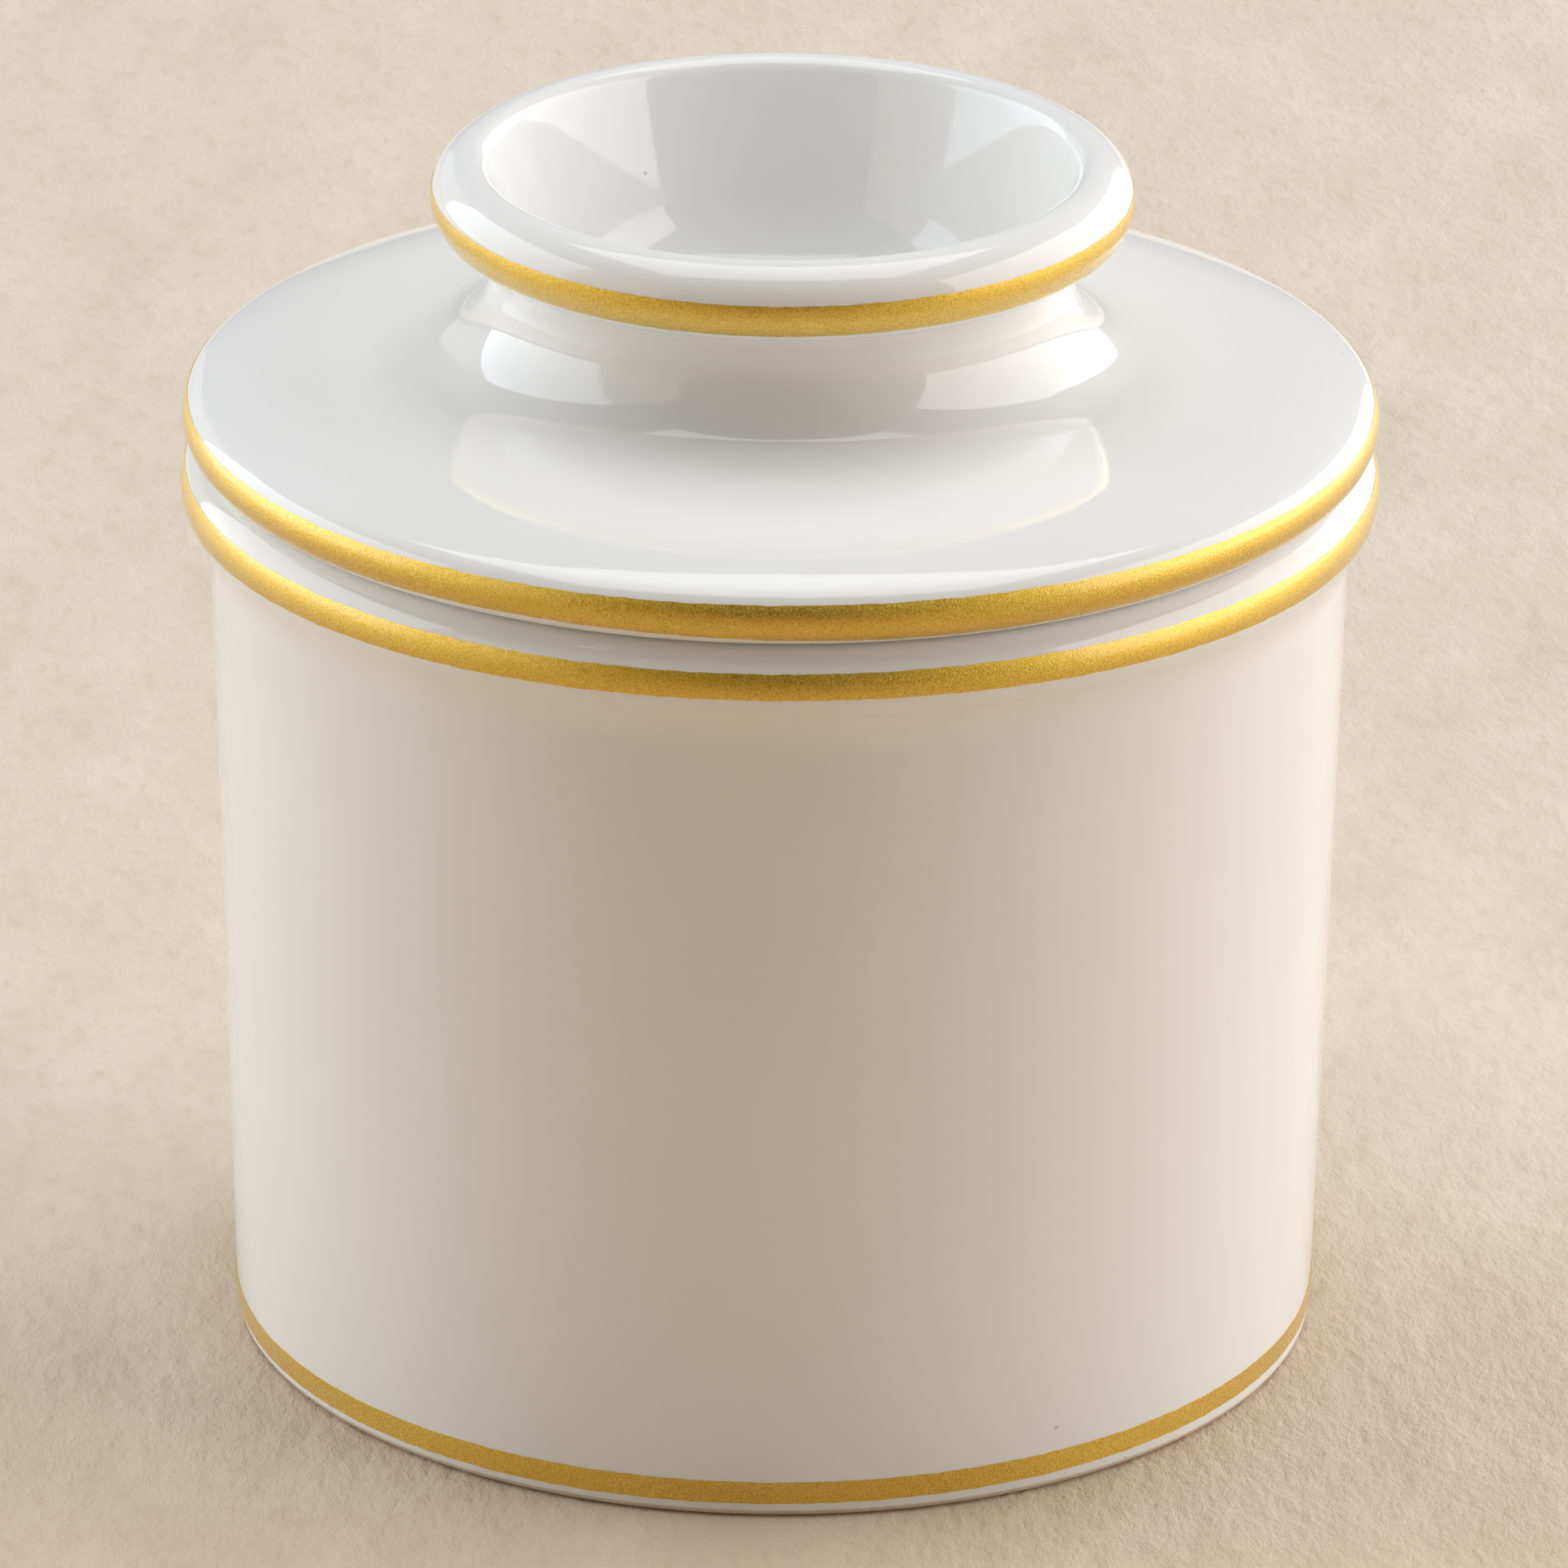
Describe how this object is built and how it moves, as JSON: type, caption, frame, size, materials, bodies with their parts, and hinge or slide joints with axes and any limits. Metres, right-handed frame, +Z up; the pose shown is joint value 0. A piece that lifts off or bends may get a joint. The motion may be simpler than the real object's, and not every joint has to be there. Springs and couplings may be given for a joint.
{
  "type": "butter crock",
  "caption": "Glazed ceramic butter crock with a lift-off lid that carries a bell-shaped butter cup under it and a flared hollow knob above, with gold edge bands.",
  "frame": {"origin": "centre of the circle that the foot ring stands on", "axes": "+Z up along the axis of revolution; the crock is round, so +X and +Y are any two directions at right angles"},
  "size_m": [0.1024, 0.1024, 0.1051],
  "materials": {
    "white_glaze": "glossy white glaze",
    "gold_lustre": "satin fired gold lustre"
  },
  "bodies": {
    "crock": {"crock_body": "white_glaze", "gold_band_crock_foot": "gold_lustre", "gold_band_crock_rim": "gold_lustre"},
    "lid": {"lid_plate": "white_glaze", "knob": "white_glaze", "butter_cup": "white_glaze", "gold_band_lid": "gold_lustre", "gold_band_knob": "gold_lustre"}
  },
  "joints": [
    {"name": "lid_lift", "type": "slide", "parent": "crock", "child": "lid", "axis": [0, 0, 1], "range_m": [0, 0.06]}
  ]
}
